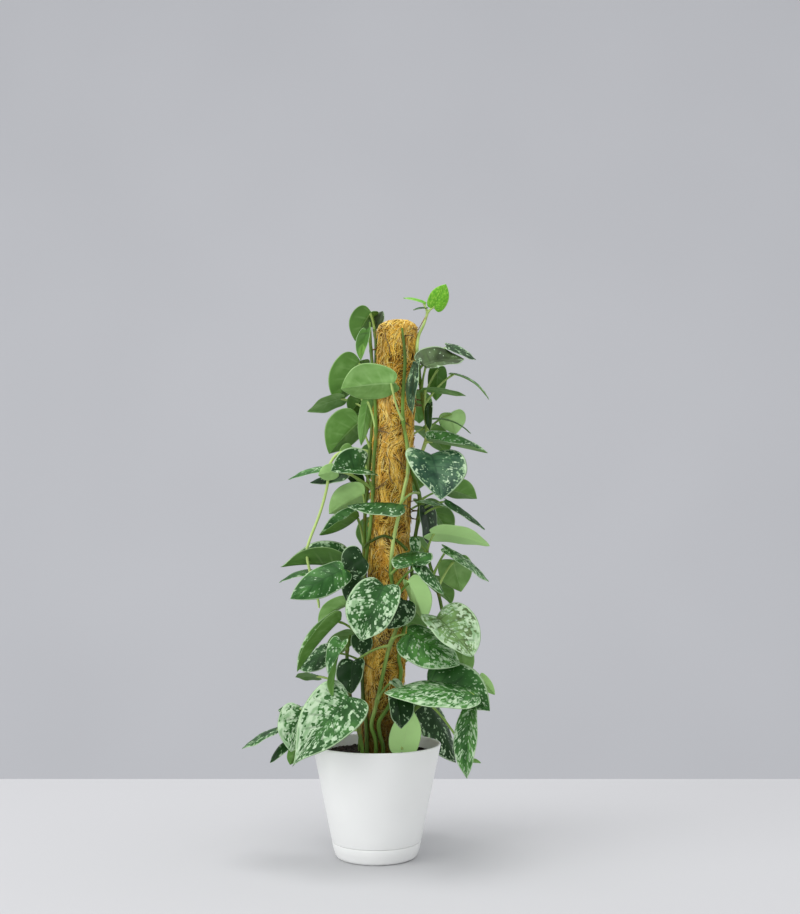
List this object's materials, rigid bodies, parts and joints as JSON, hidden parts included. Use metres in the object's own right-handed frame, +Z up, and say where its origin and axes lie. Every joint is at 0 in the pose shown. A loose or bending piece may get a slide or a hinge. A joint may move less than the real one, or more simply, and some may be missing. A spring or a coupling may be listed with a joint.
{
  "type": "potted climbing house plant",
  "caption": "Silver-marked climbing pothos with heart-shaped leaves, trained up a leaning coir pole in a round tapered plastic pot on its own saucer.",
  "frame": {"origin": "middle of the saucer's flat bottom, on the surface that it stands on", "axes": "+Z up, -Y toward the viewer of the picture, +X to the viewer's right"},
  "size_m": [0.291, 0.247, 0.6792],
  "materials": {
    "moulded_white": "satin moulded polypropylene",
    "soil": "crumbly bark and peat mix",
    "coir": "tangled coconut fibre",
    "stake": "plain wood",
    "leafy_stem": "satin leaf with silver flecks"
  },
  "bodies": {
    "root": {"saucer": "moulded_white", "pot": "moulded_white", "soil": "soil", "pole_core": "stake", "coir_wrap": "coir", "vine_front_left": "leafy_stem", "vine_left": "leafy_stem", "vine_front_right": "leafy_stem", "vine_right": "leafy_stem", "vine_low_left": "leafy_stem", "vine_low_right": "leafy_stem", "vine_back_left": "leafy_stem", "vine_back_right": "leafy_stem"}
  },
  "joints": []
}
